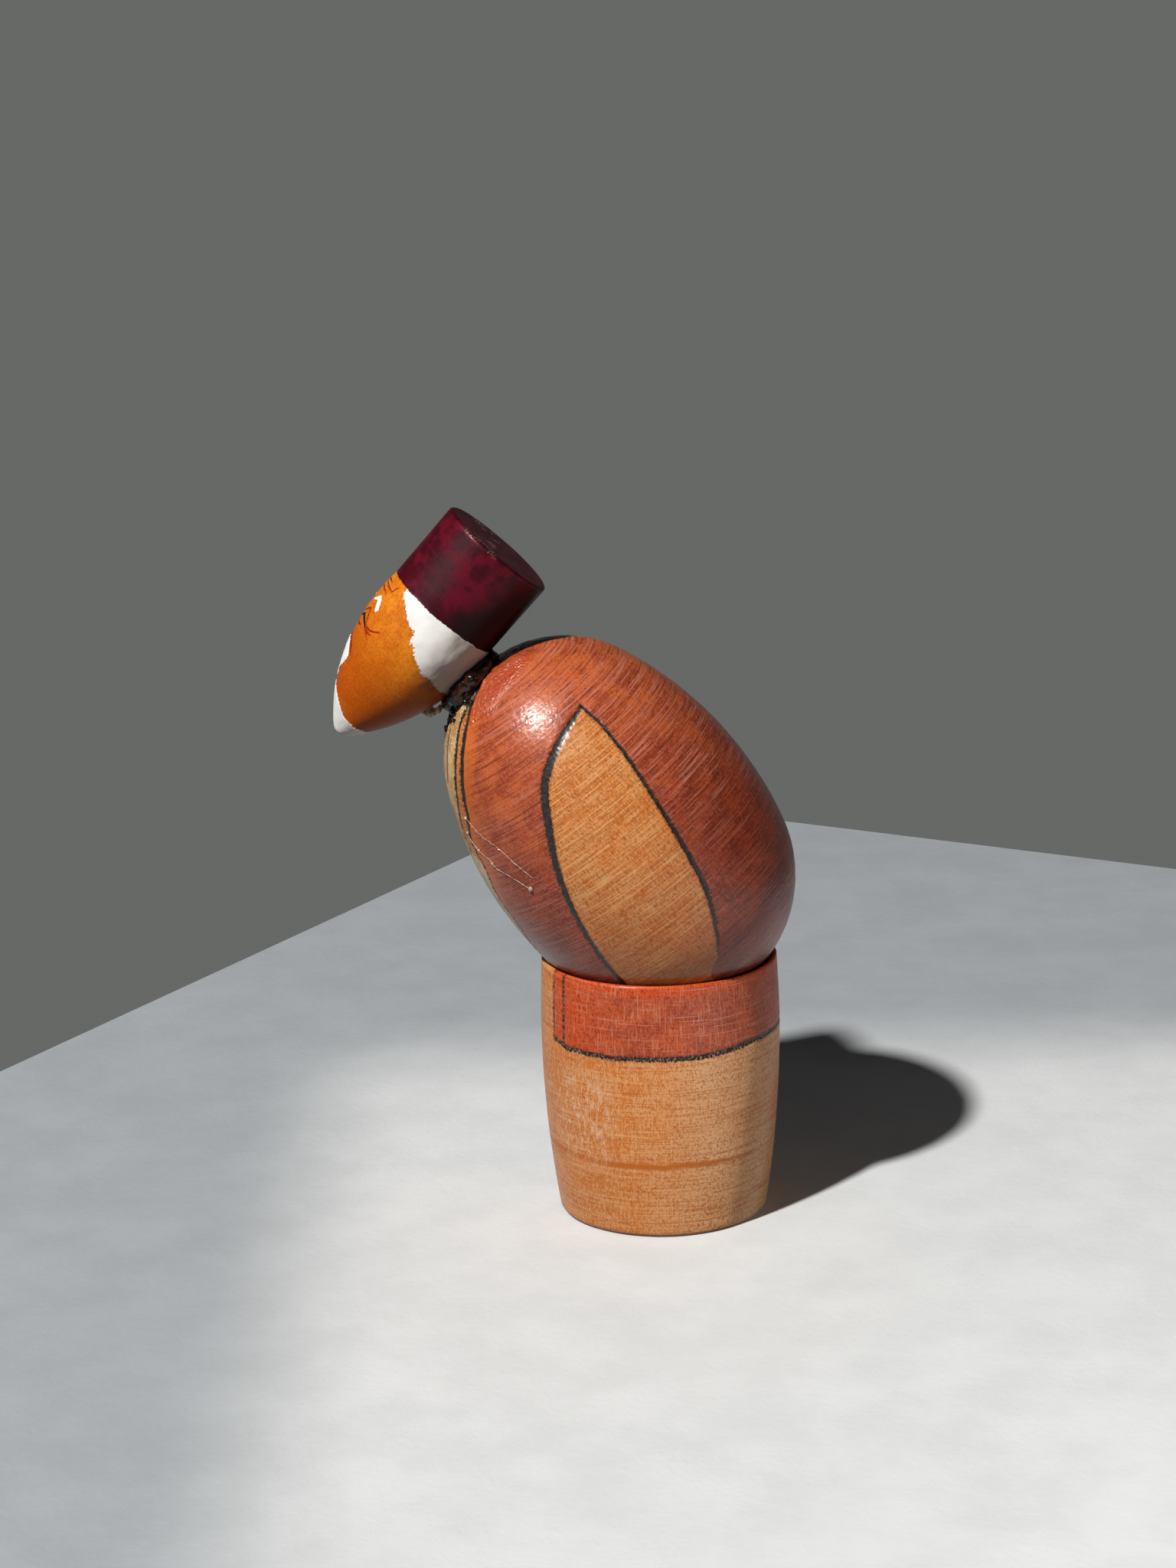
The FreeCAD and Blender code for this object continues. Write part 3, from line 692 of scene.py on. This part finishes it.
# On the head, heights run from the brim, at 0, down to the beard. An edge is (height, degrees).
HAIR_EDGE = [(0.3, 42), (-1, 44.6), (-2, 53.5), (-3.2, 63.6), (-4.1, 76), (-5.2, 79), (-6.6, 91),
             (-8.3, 106), (-8.4, 118), (-8.9, 134.5), (-9.2, 172), (-9.2, 185)]
BEARD_EDGE = [(-19.3, -3), (-19.9, 11.6), (-21, 34), (-21.9, 51.4), (-22.6, 66.6), (-22.7, 89),
              (-22.9, 110), (-22.5, 147), (-22.5, 185)]
MOUSTACHE_EDGE = [(-12.3, -6), (-12.5, 6), (-13, 14.5), (-13.7, 21), (-14.8, 26.7), (-16.2, 20.7),
                  (-17.4, 9), (-18.5, 4.6), (-18.9, -6)]
EYEBROW = [[(-4.3, 21, 0.42), (-4.8, 24, 0.5), (-5.3, 27, 0.54), (-5.8, 29.4, 0.5)],
           [(-4.3, 21, 0.4), (-4.7, 17, 0.3), (-5.2, 12.5, 0.24)]]
EYE_BLACK = [[(-8.6, 4, 0.16), (-8.25, 10, 0.2), (-7.95, 14.5, 0.22)],
             [(-8.2, 14, 0.26), (-8.7, 23, 0.22), (-9.3, 31, 0.12)]]
FACE_RED = [[(-6.6, 17.5, 0.16), (-7.2, 11, 0.12), (-8.3, -2, 0.08)],
            [(-6.6, 19, 0.14), (-7.4, 22.5, 0.15), (-8.4, 27, 0.12), (-8.9, 29.5, 0.08)],
            [(-8.8, 30, 0.08), (-8.95, 37, 0.13), (-8.6, 44, 0.12), (-7.9, 51, 0.06)],
            [(-9.2, 31, 0.08), (-9.45, 38, 0.12), (-9.3, 44, 0.05)],
            [(-9.3, 31, 0.09), (-9.8, 36, 0.08), (-10.3, 44, 0.04)],
            [(-9.2, 2, 0.08), (-9.8, 10, 0.2), (-9.6, 20, 0.06)],
            [(-11.7, -4, 0.22), (-12.2, 8, 0.26), (-12.8, 17, 0.26), (-13.3, 24, 0.24),
             (-14.3, 30, 0.1)],
            [(-2.9, -2, 0.12), (-2.85, 10, 0.14), (-3.1, 24, 0.07)],
            [(-1.9, 3, 0.1), (-2.1, 18, 0.13), (-2.2, 30, 0.07)],
            [(-1.5, -6, 0.1), (-1.3, 8, 0.13), (-1.35, 19, 0.06)],
            [(-1.0, 32.5, 0.09), (-2.0, 30, 0.06)]]

# Dark blotches on the hat, as (height, degrees, size).
HAT_BLOTCHES = [(6.5, 56, 2.6), (4, 64, 2.2), (11.4, 55, 1.8)]

# On the base: the hem's height, the degrees of the two upright lines, and the dark ring's height.
HEM_HEIGHT = 30.6
INNER_LINE, OUTER_LINE = 27.0, 36.0
DARK_RING_HEIGHT = 12.5


def centre_lines(*lines):
    """One outline in (height, degrees) from strokes laid end to end."""
    return np.vstack([through([row[:2] for row in line], 6) for line in lines])


def within(height, degrees, outline):
    """Whether each point is inside the closed outline of (height, degrees), on either side."""
    height, degrees = height[:, None], np.abs(degrees)[:, None]
    low, high = outline, np.roll(outline, -1, axis=0)
    out = np.zeros(len(height), bool)
    for (h0, d0), (h1, d1) in zip(low, high):
        if d0 != d1:
            crossing = (d0 > degrees[:, 0]) != (d1 > degrees[:, 0])
            out ^= crossing & (height[:, 0] < h0 + (degrees[:, 0] - d0) / (d1 - d0) * (h1 - h0))
    return out


def edge_distance(turning, local, line):
    """Distance to a line that has no width."""
    return stroke(turning, local, thin(line))


def body_dress(local, height, degrees):
    """Lines, stains, painted light and shade and relief on the body, its broad end's centre at
    height 0.
    """
    leaf_outline = np.vstack([centre_lines(LEAF_FRONT), [(BODY_FOOT, 86)],
                              centre_lines(LEAF_BACK + [LEAF_FOOT, (BODY_FOOT, 84, 0)])[::-1]])
    leaf_away = strokes(body, local, [thin(LEAF_FRONT), thin(LEAF_BACK + [LEAF_FOOT])])
    leaf = signed(leaf_away, within(height, degrees, leaf_outline))
    front_edge = [(BODY_FOOT, -1), (BODY_TOP, -1)]
    panel_line = ROBE_INNER + ROBE_OUTER[ROBE_LINES_MEET:]
    panel_outline = np.vstack([[(BODY_TOP, 70)], centre_lines(panel_line), front_edge])
    panel = signed(edge_distance(body, local, panel_line),
                   within(height, degrees, panel_outline))
    robe_outline = np.vstack([[(BODY_TOP, 75)], centre_lines(ROBE_OUTER), front_edge])
    robe = signed(edge_distance(body, local, ROBE_OUTER), within(height, degrees, robe_outline))
    burn = strokes(body, local, [LEAF_FRONT, LEAF_BACK, ROBE_OUTER, ROBE_INNER])
    brown = strokes(body, local, [SASH, *FRONT_STROKES])
    from_neck = np.linalg.norm(body.to_world(local) - middle_of("neck_glue"), axis=1)
    from_neck += 1.6 * wavy(local, 3.0, 40)
    wet = smooth_step(-from_neck, -13.5, -9.5)
    side = np.abs(degrees)
    scratched = 0.3 + 0.7 * smooth_step(side, 85, 110) * smooth_step(height, 2, 12)
    # Lighter stain towards the top and the front: partly the stain's own tone, partly painted light
    # where these face the lamp.
    high = smooth_step(height + 4 * wavy(local, 9, 41), 10, 34)
    high = np.maximum(high, smooth_step(-side, -50, -32) * smooth_step(height, 5, 20))
    # Painted shade: darker towards the bottom, and on the side towards the back below the middle.
    low_and_back_painted_shade = np.maximum(0.9 * smooth_step(-height, -14, 12),
                       smooth_step(side, 92, 128) * smooth_step(-height, -18, 2))

    ragged = burn + 0.09 * wavy(local, 0.7, 3)
    lift = -LINE_DEPTH * smooth_step(-ragged, -0.1, 0.12)
    lift += 0.04 * smooth_step(ragged, -0.05, 0.1) * smooth_step(-ragged, -0.6, -0.12)
    lift += 0.06 * wavy(local, 9.0, 11) + 0.012 * wavy(local * [0.3, 0.3, 4], 1.6, 12)
    lift += wet * (0.09 * wavy(local, 0.9, 21) + 0.1 * wavy(local, 2.6, 22))
    return lift, {"leaf": leaf, "panel": panel, "burn": burn, "brown": brown, "wet": wet,
                  "scratched": scratched, "high": high, "robe": robe, "low_and_back_painted_shade": low_and_back_painted_shade}


def base_dress(local, height, degrees):
    """Lines, stains, painted light and shade, and relief on the base's side."""
    side = np.abs(degrees)
    past_inner = np.radians(side - INNER_LINE) * BELLY_RADIUS
    past_outer = np.radians(side - OUTER_LINE) * BELLY_RADIUS
    radius = np.hypot(local[:, 0], local[:, 1])
    on_side = radius > barrel_radius(height) - 1.5
    around = np.radians(side) * radius
    dashes = wavy(np.column_stack([around, height, 0 * height]), 2.2, 31, 3)
    hem_height = HEM_HEIGHT + 0.8 * smooth_step(-side, -40, -26) + 0.9 * smooth_step(side, 95, 150)
    hem = np.abs(height - hem_height - 0.1 * dashes) - 0.42
    hem = np.maximum(hem, -past_inner)
    rules = np.minimum(np.abs(past_inner) - 0.2, np.abs(past_outer) - 0.24)
    rules = np.maximum(rules, hem_height - height)
    burn = np.where(on_side, np.minimum(hem, rules), FAR_FROM_LINES)
    band = np.where(on_side, np.minimum(height - hem_height, past_inner), -FAR_FROM_LINES)
    ring = np.abs(height - DARK_RING_HEIGHT - 0.15 * dashes) - 0.5
    ring += 0.35 * smooth_step(side, 100, 150)
    # Painted light: lighter wood on the side towards the back, standing in for light thrown up from
    # the floor.
    back_painted_bounce_light = smooth_step(side, 65, 125) * (0.7 + 0.3 * wavy(local, 7, 32))
    # Painted shade in a band just under the rim, where the body's shadow falls, and the stain's own
    # brighter red on the front.
    front_red_and_rim_painted_shade = np.maximum(smooth_step(height, 40.4, 41.4),
                       smooth_step(-side, -70, -44) * (0.8 + 0.4 * wavy(local, 5, 33)))
    scuffed = (smooth_step(side, 24, 34) * smooth_step(-side, -70, -56)
               * smooth_step(height, 9, 15) * smooth_step(-height, -29.5, -24))

    ragged = burn + 0.07 * wavy(local, 0.6, 3)
    lift = -HEM_DEPTH * smooth_step(-ragged, -0.1, 0.1)
    lift += 0.03 * smooth_step(ragged, -0.05, 0.1) * smooth_step(-ragged, -0.5, -0.12)
    lift += 0.05 * wavy(local, 8.0, 11) + 0.012 * wavy(local * [0.3, 0.3, 4], 1.6, 12)
    lift *= on_side
    return lift, {"burn": burn, "band": band, "ring": ring, "back_painted_bounce_light": np.clip(back_painted_bounce_light, 0, 1),
                  "front_red_and_rim_painted_shade": np.clip(front_red_and_rim_painted_shade, 0, 1), "scuffed": scuffed}


def head_dress(local, height, degrees):
    """Paint, wear, painted shade and highlight, and relief on the head and hat."""
    side = np.abs(degrees)

    def patch(edge, closing):
        outline = np.vstack([centre_lines(edge), *closing])
        return signed(edge_distance(head, local, edge), within(height, degrees, outline))

    hair = patch(HAIR_EDGE, [(3, 185), (3, 42)])
    beard = patch(BEARD_EDGE, [(-30, 185), (-30, -3)])
    moustache = patch(MOUSTACHE_EDGE, [])
    white = np.maximum.reduce([hair, beard, moustache, -strokes(head, local, EYEBROW)])
    red = strokes(head, local, FACE_RED)
    black = strokes(head, local, EYE_BLACK)
    hat = height + 0.12 * wavy(local, 1.0, 50)
    on_hat = smooth_step(hat, -0.05, 0.05)
    smear_edge = side + 6 * wavy(local, 3.0, 60)
    smear = smooth_step(smear_edge, 96, 124) * smooth_step(height, -10.8, -9.4) * (1 - on_hat)
    # Rubbed paint on the hat's rim: partly wear, partly a painted highlight on the side that faces
    # the lamp.
    rim_wear_and_painted_highlight = smooth_step(height, 12.75, 13.05) * smooth_step(side, 42, 52)
    rim_wear_and_painted_highlight *= smooth_step(-side, -95, -84) * smooth_step(wavy(local, 1.6, 61), 0.0, 0.25)
    folded = fold(local)
    blotch = sum(
        np.exp(-((np.linalg.norm(folded - head.on_side(up, round_to), axis=1) / size) ** 2))
        for up, round_to, size in HAT_BLOTCHES
    )

    ragged = white + 0.2 * wavy(local * [1, 1, 0.6], 0.8, 51) + 0.12 * wavy(local, 2.0, 52)
    ragged = np.where(hair > -1.0, ragged, 4 * white + 0.1 * wavy(local, 0.8, 51))
    deep = smooth_step(-height - 0.05 * (side - 60), 4, 17)
    # Painted shade: the hat darker towards the back and over its top, the face darker towards the
    # back.
    hat_and_face_painted_shade = np.where(height > 0, 0.95 * smooth_step(side - 4 * height, 66, 104),
                    0.7 * smooth_step(side, 98, 132))
    hat_and_face_painted_shade = np.where(height > HAT_LENGTH - 0.2, 0.35, hat_and_face_painted_shade)
    thick = smooth_step(ragged, -0.08, 0.1) * (1 - on_hat)
    lift = thick * (WHITE_PAINT_THICKNESS + 0.03 * wavy(local, 1.4, 53))
    lift += HAT_PAINT_THICKNESS * on_hat + 0.03 * wavy(local, 6.0, 54)
    lift += smear * (0.12 * wavy(local * [1, 1, 0.45], 1.3, 55) + 0.1)
    lift += BLACK_PAINT_THICKNESS * smooth_step(-black, -0.08, 0.05)
    lift += RED_PAINT_THICKNESS * smooth_step(-red, -0.08, 0.05)
    return lift, {"white": ragged, "red": red, "black": black, "hat": hat, "smear": smear,
                  "deep": deep, "hat_and_face_painted_shade": hat_and_face_painted_shade, "rim_wear_and_painted_highlight": rim_wear_and_painted_highlight, "blotch": np.clip(blotch, 0, 1)}


# Glue.

# Runs of glue down the body's front: heights from and to, degrees to either side, size, count.
GLUE_RUNS = [(41.4, 43.2, 60, 0.6, 50), (40.2, 41.6, 30, 0.42, 24), (39.4, 40.6, 14, 0.3, 10)]
# Each thread's (height, degrees) along the body, and its knots: (part of the way, radius).
THREADS = {
    "glue_thread_upper": ([(28, 30.5), (27.5, 32), (25, 38), (22, 46), (19, 50.5), (15.7, 55)],
                          [(0.0, 0.3), (0.1, 0.2)]),
    "glue_thread_lower": ([(25.6, 26.5), (24.5, 27), (22.4, 31), (21, 35.5), (19.2, 38),
                           (16.8, 45), (14.2, 50.5)],
                          [(0.0, 0.28), (0.32, 0.24), (0.6, 0.26), (1.0, 0.42)]),
}


def surface_gap(turning, world):
    """About how far each point in the frame, in mm, is outside a turned piece, near its side."""
    local = turning.to_local(world)
    rising = turning.profile[: int(np.argmax(turning.profile[:, 0])) + 1]
    radius = np.interp(local[:, 2], rising[:, 0], rising[:, 1])
    slope = np.interp(local[:, 2] + 0.1, rising[:, 0], rising[:, 1]) - radius
    return (np.hypot(local[:, 0], local[:, 1]) - radius) / np.hypot(1, slope / 0.1)


def lumpy_mesh(name, centres, radii, voxel, dent=None):
    """Balls run together into one skin, pushed out and in by the dents over it, all in mm."""
    mesh = bpy.data.meshes.new(name)
    ball = ball_mesh(2)
    corners = np.vstack([centre + radius * ball[0] for centre, radius in zip(centres, radii)])
    faces = np.vstack([ball[1] + count * len(ball[0]) for count in range(len(centres))])
    mesh.from_pydata((corners * MM).tolist(), [], faces.tolist())
    piece = bpy.data.objects.new(name, mesh)
    bpy.context.scene.collection.objects.link(piece)
    skin = piece.modifiers.new("skin", "REMESH")
    skin.mode = "VOXEL"
    skin.voxel_size = voxel * MM
    evaluated = piece.evaluated_get(bpy.context.evaluated_depsgraph_get())
    piece.data = bpy.data.meshes.new_from_object(evaluated)
    piece.data.name = name
    piece.modifiers.clear()
    place = np.empty(len(piece.data.vertices) * 3)
    normal = np.empty_like(place)
    piece.data.vertices.foreach_get("co", place)
    piece.data.vertices.foreach_get("normal", normal)
    place = place.reshape(-1, 3) / MM
    pushed = place + (dent(place)[:, None] * normal.reshape(-1, 3) if dent else 0)
    piece.data.vertices.foreach_set("co", (pushed * MM).ravel())
    piece.data.shade_smooth()
    piece.data.update()
    return piece


def ball_mesh(level):
    """The corners and faces of a ball of radius 1."""
    made = bpy.data.meshes.new("ball")
    shape = bmesh.new()
    bmesh.ops.create_icosphere(shape, subdivisions=level, radius=1.0)
    shape.to_mesh(made)
    shape.free()
    corners = np.array([vertex.co[:] for vertex in made.vertices])
    faces = np.array([polygon.vertices[:] for polygon in made.polygons])
    bpy.data.meshes.remove(made)
    return corners, faces


def neck_glue_piece():
    """Glue in the crevice between body and head, with runs below it.

    Its lumps are balls that touch the body on one side and the head on the other, wherever the
    gap between them, searched for along the head's axis, is not too wide.
    """
    middle = middle_of("neck_glue")
    lean = math.radians(-HEAD_TILT)
    axis = np.array([0, -math.cos(lean), math.sin(lean)])
    across = np.array([1.0, 0, 0])
    along = np.cross(axis, across)
    count, search, widest_half, overlap = 620, 5, 2.6, 0.1
    ring_radius, ring_waver = 5.3, 0.8
    turn = rng.uniform(0, 2 * math.pi, count)
    ring = np.column_stack([np.cos(turn), np.sin(turn), 0 * turn])
    reach = ring_radius + ring_waver * wavy(ring * 7, 4, 70)
    out = reach * np.sqrt(rng.uniform(0.1, 1.0, count))
    foot = middle + out[:, None] * (ring[:, :1] * across + ring[:, 1:2] * along)
    steps = np.linspace(-search, search, 101)
    line = foot[:, None, :] + steps[None, :, None] * axis
    to_body = surface_gap(body, line.reshape(-1, 3)).reshape(count, -1)
    to_head = surface_gap(head, line.reshape(-1, 3)).reshape(count, -1)
    body_at = np.array([steps[gaps < 0].max(initial=-search) for gaps in to_body])
    head_at = np.array([steps[gaps < 0].min(initial=search) for gaps in to_head])
    half = (head_at - body_at) / 2
    bridging = half < widest_half
    centres = foot + ((head_at + body_at) / 2)[:, None] * axis
    lumps, sizes = [centres[bridging]], [half[bridging] + overlap]
    for low, high, spread, size, number in GLUE_RUNS:
        height = rng.uniform(low, high, number)
        degrees = rng.uniform(-spread, spread, number)
        lumps.append(body.to_world(body.on_side(height, degrees, lift=0.15)))
        sizes.append(rng.uniform(0.6, 1.0, number) * size)

    def dent(place):
        return 0.16 * wavy(place, 1.3, 71) + 0.1 * wavy(place, 0.5, 72, 1)

    return lumpy_mesh("neck_glue_bead", np.vstack(lumps), np.concatenate(sizes), 0.16, dent)


def glue_drop_piece():
    """A drop under the jaw, run together with smaller ones."""
    drops = np.array([[0, 0, 0], [0.9, 0.7, 0.25], [-0.8, 0.4, 0.2], [1.7, 1.5, 0.7],
                      [-0.3, -0.9, 0.15], [0.6, 1.9, 0.9]])
    return lumpy_mesh("glue_drop_lump", middle_of("glue_drop") + drops,
                      [0.9, 0.7, 0.6, 0.55, 0.5, 0.5], voxel=0.1,
                      dent=lambda place: 0.1 * wavy(place, 0.8, 73))


def thread_piece(name, controls, knots):
    """A glue thread lying along the body, thinner and thicker, with knots."""
    core, core_spacing = 0.09, 0.05
    line = through(controls, 26)
    kink = np.column_stack([line[:, 0], line[:, 1], 0 * line[:, 0]])
    height = line[:, 0] + 0.16 * wavy(kink, 1.6, 80)
    path = body.to_world(body.on_side(height, line[:, 1], lift=0.13))
    thick = 0.085 + 0.02 * wavy(kink, 0.8, 81)
    centres, radii = [path], [thick]
    for where, size in knots:
        centres.append(path[[int(where * (len(path) - 1))]])
        radii.append(np.array([size]))
    spaced = [path[0]]
    for point in path:
        if np.linalg.norm(point - spaced[-1]) > core_spacing:
            spaced.append(point)
    centres.append(np.array(spaced))
    radii.append(np.full(len(spaced), core))
    return lumpy_mesh(name, np.vstack(centres), np.concatenate(radii), voxel=0.1)


# The turned pieces, from the frame.

base_low, base_high = (corner[2] for corner in box_of("base"))
body = Turning("body", egg_profile(), BODY_TILT)
head = Turning("head", head_profile(), HEAD_TILT)
base = Turning("base", base_profile(base_high - base_low, body.origin[2] - base_low), 0.0)

for turning, rows, columns, dress, material in (
    (body, 222, 440, body_dress, body_material()),
    (head, 250, 390, head_dress, head_material()),
    (base, 260, 380, base_dress, base_material()),
):
    piece = turned_mesh(turning, "turned_" + turning.node, rows, columns, dress)
    stands_for(piece, turning.node, material)
clear_glue = clear_glue_material()
dark_glue = dark_glue_material()
stands_for(neck_glue_piece(), "neck_glue", dark_glue)
stands_for(glue_drop_piece(), "glue_drop", clear_glue)
for node, (controls, knots) in THREADS.items():
    stands_for(thread_piece(node + "_strand", controls, knots), node, clear_glue)

bare = dowel_material()
for node, material in (("seat_dowel", bare), ("neck_dowel", bare), ("seat_glue", dark_glue)):
    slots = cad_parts[node].data.materials
    slots.clear()
    slots.append(material)

# Stage, light and camera, in metres.

# The floor's far corner, the two edges that leave it, and their length.
FLOOR_CORNER = (-0.2725, -0.0094, 0.0)
FLOOR_EDGES = ((0.87, -0.492, 0), (0.518, 0.855, 0))
FLOOR_REACH = 1.6
FIGURE_MIDDLE = Vector((0, 0, 0.06))
CAMERA_PLACE = (0.52094, -0.01078, 0.19912)
CAMERA_PITCH, CAMERA_ROLL = math.radians(13.85), math.radians(-1.4)
CAMERA_LENS = 77.34


def stage_floor():
    """A flat floor that takes shadows, hidden from diffuse rays so that it throws no light up."""
    corner = Vector(FLOOR_CORNER)
    left, right = (Vector(way).normalized() * FLOOR_REACH for way in FLOOR_EDGES)
    mesh = bpy.data.meshes.new("floor")
    mesh.from_pydata([corner, corner + left, corner + left + right, corner + right], [],
                     [(0, 1, 2, 3)])
    floor = bpy.data.objects.new("floor", mesh)
    bpy.context.scene.collection.objects.link(floor)
    mesh.materials.append(floor_material())
    floor.visible_diffuse = False


def area_light(name, direction, distance, size, watts, colour):
    """A round light at a direction and distance from the figure's middle, facing it."""
    data = bpy.data.lights.new(name, "AREA")
    data.shape = "DISK"
    data.size = size
    data.energy = watts
    data.color = colour
    light = bpy.data.objects.new(name, data)
    bpy.context.scene.collection.objects.link(light)
    light.location = FIGURE_MIDDLE + Vector(direction).normalized() * distance
    light.rotation_euler = (FIGURE_MIDDLE - light.location).to_track_quat("-Z", "Y").to_euler()
    return light


def light_figure():
    """One small hard light, and two weak fills that leave no highlights of their own."""
    area_light("key", direction=(0.518, -0.41, 0.751), distance=2.5, size=0.13, watts=93.0,
               colour=(1.0, 0.98, 0.955))
    low_right = area_light("low_right", direction=(0.67, 0.71, -0.22), distance=0.225,
                           size=0.14, watts=0.18, colour=(1.0, 0.97, 0.93))
    behind = area_light("behind", direction=(-0.98, 0.2, 0.03), distance=2.0, size=1.0,
                        watts=0.4, colour=(1.0, 1.0, 1.0))
    low_right.visible_glossy = False
    behind.visible_glossy = False


def studio_world():
    """A grey wall all round up to the horizon, and a dim ceiling over it."""
    wall_colour, ceiling_colour = (0.135, 0.14, 0.135), (0.018, 0.0185, 0.0195)
    made = bpy.data.worlds.new("studio")
    made.use_nodes = True
    tree = made.node_tree
    place = tree.nodes.new("ShaderNodeTexCoord")
    split = tree.nodes.new("ShaderNodeSeparateXYZ")
    shade = tree.nodes.new("ShaderNodeValToRGB")
    tree.links.new(place.outputs["Generated"], split.inputs[0])
    tree.links.new(split.outputs["Z"], shade.inputs["Fac"])
    wall, ceiling = shade.color_ramp.elements
    wall.position, wall.color = 0.0, rgba(wall_colour)
    ceiling.position, ceiling.color = 0.25, rgba(ceiling_colour)
    tree.links.new(shade.outputs["Color"], tree.nodes["Background"].inputs["Color"])
    bpy.context.scene.world = made


def place_camera():
    """Looks along -X at the figure's left side, pitched down and rolled a little."""
    data = bpy.data.cameras.new("camera")
    data.lens = CAMERA_LENS
    data.sensor_width = 36.0
    data.clip_start = 0.01
    camera = bpy.data.objects.new("camera", data)
    bpy.context.scene.collection.objects.link(camera)
    ahead = Vector((-math.cos(CAMERA_PITCH), 0, -math.sin(CAMERA_PITCH)))
    level_up = Vector((-math.sin(CAMERA_PITCH), 0, math.cos(CAMERA_PITCH)))
    level_right = Vector((0, 1, 0))
    right = level_right * math.cos(CAMERA_ROLL) + level_up * math.sin(CAMERA_ROLL)
    up = level_up * math.cos(CAMERA_ROLL) - level_right * math.sin(CAMERA_ROLL)
    turned = Matrix((right, up, -ahead)).transposed().to_4x4()
    camera.matrix_world = Matrix.Translation(CAMERA_PLACE) @ turned
    bpy.context.scene.camera = camera


stage_floor()
light_figure()
studio_world()
place_camera()
bpy.context.scene.view_settings.view_transform = "Standard"
